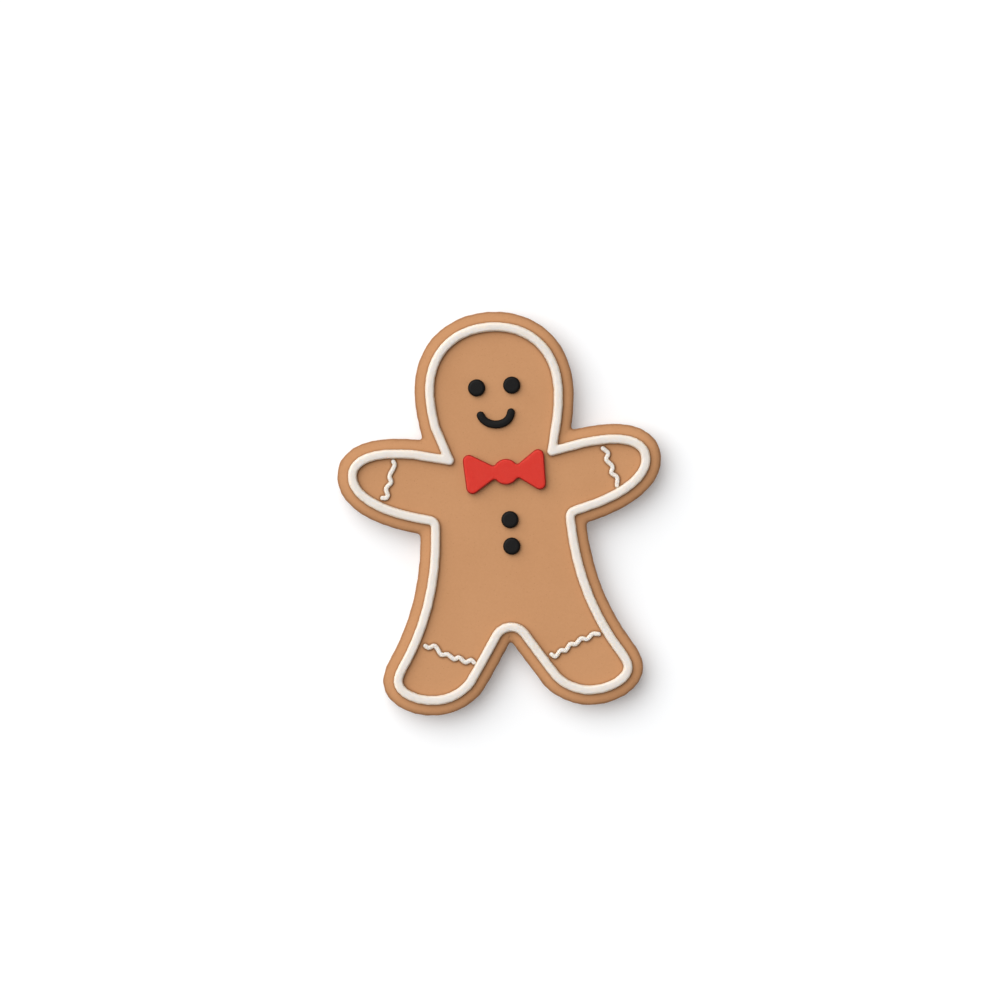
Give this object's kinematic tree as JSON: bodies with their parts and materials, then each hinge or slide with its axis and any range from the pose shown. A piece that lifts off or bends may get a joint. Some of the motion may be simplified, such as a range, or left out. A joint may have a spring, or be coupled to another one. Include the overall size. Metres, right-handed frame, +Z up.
{
  "type": "gingerbread man cookie",
  "caption": "Gingerbread man cookie lying face up, with a piped white icing border, wavy cuffs and anklets, black eyes, smile and buttons, and a red bow tie.",
  "frame": {"origin": "on the surface that the biscuit lies on, under the middle of its length and width", "axes": "+Z up, out of the iced face; +Y from the feet to the head, along the figure's middle line; +X to the right as seen from above"},
  "size_m": [0.0894, 0.11, 0.0098],
  "materials": {
    "gingerbread": "matte",
    "white_icing": "satin",
    "black_icing": "satin",
    "red_icing": "satin"
  },
  "bodies": {
    "root": {"biscuit": "gingerbread", "icing_border": "white_icing", "cuff_left": "white_icing", "cuff_right": "white_icing", "anklet_left": "white_icing", "anklet_right": "white_icing", "eye_left": "black_icing", "eye_right": "black_icing", "smile": "black_icing", "button_upper": "black_icing", "button_lower": "black_icing", "bow_tie": "red_icing"}
  },
  "joints": []
}
